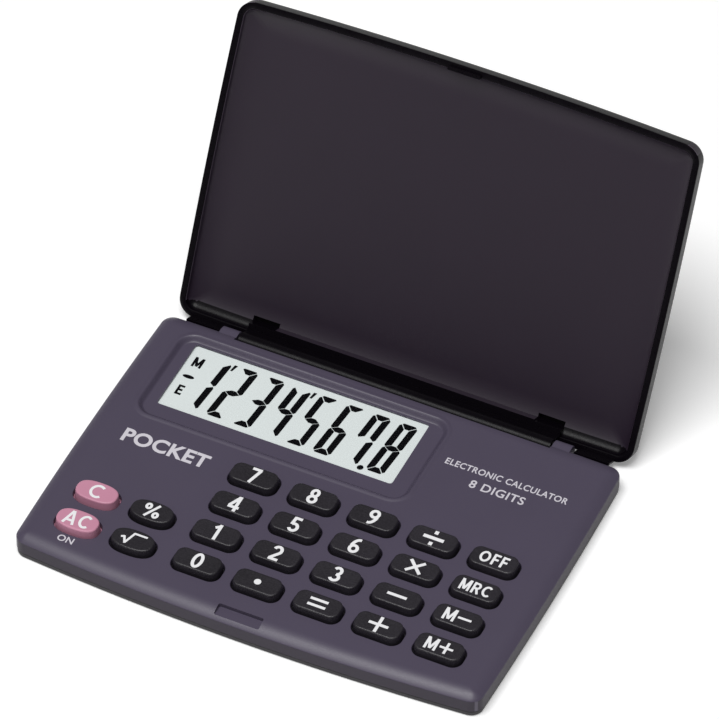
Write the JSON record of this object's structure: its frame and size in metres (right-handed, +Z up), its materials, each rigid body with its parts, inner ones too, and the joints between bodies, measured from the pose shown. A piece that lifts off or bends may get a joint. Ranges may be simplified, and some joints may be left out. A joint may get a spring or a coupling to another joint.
{
  "type": "folding pocket calculator",
  "caption": "Slim pocket calculator with a hard hinged lid, a segment display in a shallow dish, a grid of raised rectangular keys and oval clear, percent and root keys.",
  "frame": {"origin": "middle of the flat underside of the case, which rests on the table", "axes": "+Z up out of the keys; +Y from the front edge towards the hinge; +X to the user's right; stored with the lid open"},
  "size_m": [0.09, 0.0959, 0.0561],
  "materials": {
    "case": "satin purple-grey moulded plastic with a fine grain",
    "back_cover": "fine matt dark plastic",
    "lid": "dark purple-black moulded plastic, satin inside",
    "window": "clear polished acrylic",
    "lcd": "pale grey-green reflective display glass with dark segments",
    "ribbon": "amber film ribbon",
    "board": "green solder-masked board",
    "chip": "black epoxy",
    "capacitor": "tan ceramic",
    "key_mat": "grey silicone rubber",
    "cell": "nickel-plated steel can",
    "contact": "nickel-plated spring strip",
    "screw": "zinc-plated steel",
    "key_black": "satin black plastic with white printed legend",
    "key_pink": "satin dusty-pink plastic with white printed legend"
  },
  "bodies": {
    "base": {"upper_case": "case", "lower_case": "back_cover", "display_window": "window", "lcd_panel": "lcd", "lcd_ribbon": "ribbon", "circuit_board": "board", "chip_cover": "chip", "capacitor_1": "capacitor", "capacitor_2": "capacitor", "key_mat": "key_mat", "battery_cell": "cell", "battery_contact_negative": "contact", "battery_contact_positive": "contact", "case_screw_1": "screw", "case_screw_2": "screw", "case_screw_3": "screw", "case_screw_4": "screw"},
    "lid": {"lid": "lid"},
    "key_all_clear_body": {"key_all_clear": "key_pink"},
    "key_clear_body": {"key_clear": "key_pink"},
    "key_root_body": {"key_root": "key_black"},
    "key_percent_body": {"key_percent": "key_black"},
    "key_0_body": {"key_0": "key_black"},
    "key_point_body": {"key_point": "key_black"},
    "key_equals_body": {"key_equals": "key_black"},
    "key_plus_body": {"key_plus": "key_black"},
    "key_memory_plus_body": {"key_memory_plus": "key_black"},
    "key_1_body": {"key_1": "key_black"},
    "key_2_body": {"key_2": "key_black"},
    "key_3_body": {"key_3": "key_black"},
    "key_minus_body": {"key_minus": "key_black"},
    "key_memory_minus_body": {"key_memory_minus": "key_black"},
    "key_4_body": {"key_4": "key_black"},
    "key_5_body": {"key_5": "key_black"},
    "key_6_body": {"key_6": "key_black"},
    "key_times_body": {"key_times": "key_black"},
    "key_memory_recall_body": {"key_memory_recall": "key_black"},
    "key_7_body": {"key_7": "key_black"},
    "key_8_body": {"key_8": "key_black"},
    "key_9_body": {"key_9": "key_black"},
    "key_divide_body": {"key_divide": "key_black"},
    "key_off_body": {"key_off": "key_black"}
  },
  "joints": [
    {"name": "lid_hinge", "type": "hinge", "parent": "base", "child": "lid", "pos_m": [0, 0.0318, 0.0024], "axis": [-1, 0, 0], "range_deg": [-117, 0]},
    {"name": "press_all_clear", "type": "slide", "parent": "base", "child": "key_all_clear_body", "axis": [0, 0, -1], "range_m": [0, 0.00065], "stiffness_N_per_m": 700, "springref_m": -0.0002, "deforming": ["key_mat"]},
    {"name": "press_clear", "type": "slide", "parent": "base", "child": "key_clear_body", "axis": [0, 0, -1], "range_m": [0, 0.00065], "stiffness_N_per_m": 700, "springref_m": -0.0002, "deforming": ["key_mat"]},
    {"name": "press_root", "type": "slide", "parent": "base", "child": "key_root_body", "axis": [0, 0, -1], "range_m": [0, 0.00065], "stiffness_N_per_m": 700, "springref_m": -0.0002, "deforming": ["key_mat"]},
    {"name": "press_percent", "type": "slide", "parent": "base", "child": "key_percent_body", "axis": [0, 0, -1], "range_m": [0, 0.00065], "stiffness_N_per_m": 700, "springref_m": -0.0002, "deforming": ["key_mat"]},
    {"name": "press_0", "type": "slide", "parent": "base", "child": "key_0_body", "axis": [0, 0, -1], "range_m": [0, 0.00065], "stiffness_N_per_m": 700, "springref_m": -0.0002, "deforming": ["key_mat"]},
    {"name": "press_point", "type": "slide", "parent": "base", "child": "key_point_body", "axis": [0, 0, -1], "range_m": [0, 0.00065], "stiffness_N_per_m": 700, "springref_m": -0.0002, "deforming": ["key_mat"]},
    {"name": "press_equals", "type": "slide", "parent": "base", "child": "key_equals_body", "axis": [0, 0, -1], "range_m": [0, 0.00065], "stiffness_N_per_m": 700, "springref_m": -0.0002, "deforming": ["key_mat"]},
    {"name": "press_plus", "type": "slide", "parent": "base", "child": "key_plus_body", "axis": [0, 0, -1], "range_m": [0, 0.00065], "stiffness_N_per_m": 700, "springref_m": -0.0002, "deforming": ["key_mat"]},
    {"name": "press_memory_plus", "type": "slide", "parent": "base", "child": "key_memory_plus_body", "axis": [0, 0, -1], "range_m": [0, 0.00065], "stiffness_N_per_m": 700, "springref_m": -0.0002, "deforming": ["key_mat"]},
    {"name": "press_1", "type": "slide", "parent": "base", "child": "key_1_body", "axis": [0, 0, -1], "range_m": [0, 0.00065], "stiffness_N_per_m": 700, "springref_m": -0.0002, "deforming": ["key_mat"]},
    {"name": "press_2", "type": "slide", "parent": "base", "child": "key_2_body", "axis": [0, 0, -1], "range_m": [0, 0.00065], "stiffness_N_per_m": 700, "springref_m": -0.0002, "deforming": ["key_mat"]},
    {"name": "press_3", "type": "slide", "parent": "base", "child": "key_3_body", "axis": [0, 0, -1], "range_m": [0, 0.00065], "stiffness_N_per_m": 700, "springref_m": -0.0002, "deforming": ["key_mat"]},
    {"name": "press_minus", "type": "slide", "parent": "base", "child": "key_minus_body", "axis": [0, 0, -1], "range_m": [0, 0.00065], "stiffness_N_per_m": 700, "springref_m": -0.0002, "deforming": ["key_mat"]},
    {"name": "press_memory_minus", "type": "slide", "parent": "base", "child": "key_memory_minus_body", "axis": [0, 0, -1], "range_m": [0, 0.00065], "stiffness_N_per_m": 700, "springref_m": -0.0002, "deforming": ["key_mat"]},
    {"name": "press_4", "type": "slide", "parent": "base", "child": "key_4_body", "axis": [0, 0, -1], "range_m": [0, 0.00065], "stiffness_N_per_m": 700, "springref_m": -0.0002, "deforming": ["key_mat"]},
    {"name": "press_5", "type": "slide", "parent": "base", "child": "key_5_body", "axis": [0, 0, -1], "range_m": [0, 0.00065], "stiffness_N_per_m": 700, "springref_m": -0.0002, "deforming": ["key_mat"]},
    {"name": "press_6", "type": "slide", "parent": "base", "child": "key_6_body", "axis": [0, 0, -1], "range_m": [0, 0.00065], "stiffness_N_per_m": 700, "springref_m": -0.0002, "deforming": ["key_mat"]},
    {"name": "press_times", "type": "slide", "parent": "base", "child": "key_times_body", "axis": [0, 0, -1], "range_m": [0, 0.00065], "stiffness_N_per_m": 700, "springref_m": -0.0002, "deforming": ["key_mat"]},
    {"name": "press_memory_recall", "type": "slide", "parent": "base", "child": "key_memory_recall_body", "axis": [0, 0, -1], "range_m": [0, 0.00065], "stiffness_N_per_m": 700, "springref_m": -0.0002, "deforming": ["key_mat"]},
    {"name": "press_7", "type": "slide", "parent": "base", "child": "key_7_body", "axis": [0, 0, -1], "range_m": [0, 0.00065], "stiffness_N_per_m": 700, "springref_m": -0.0002, "deforming": ["key_mat"]},
    {"name": "press_8", "type": "slide", "parent": "base", "child": "key_8_body", "axis": [0, 0, -1], "range_m": [0, 0.00065], "stiffness_N_per_m": 700, "springref_m": -0.0002, "deforming": ["key_mat"]},
    {"name": "press_9", "type": "slide", "parent": "base", "child": "key_9_body", "axis": [0, 0, -1], "range_m": [0, 0.00065], "stiffness_N_per_m": 700, "springref_m": -0.0002, "deforming": ["key_mat"]},
    {"name": "press_divide", "type": "slide", "parent": "base", "child": "key_divide_body", "axis": [0, 0, -1], "range_m": [0, 0.00065], "stiffness_N_per_m": 700, "springref_m": -0.0002, "deforming": ["key_mat"]},
    {"name": "press_off", "type": "slide", "parent": "base", "child": "key_off_body", "axis": [0, 0, -1], "range_m": [0, 0.00065], "stiffness_N_per_m": 700, "springref_m": -0.0002, "deforming": ["key_mat"]}
  ]
}
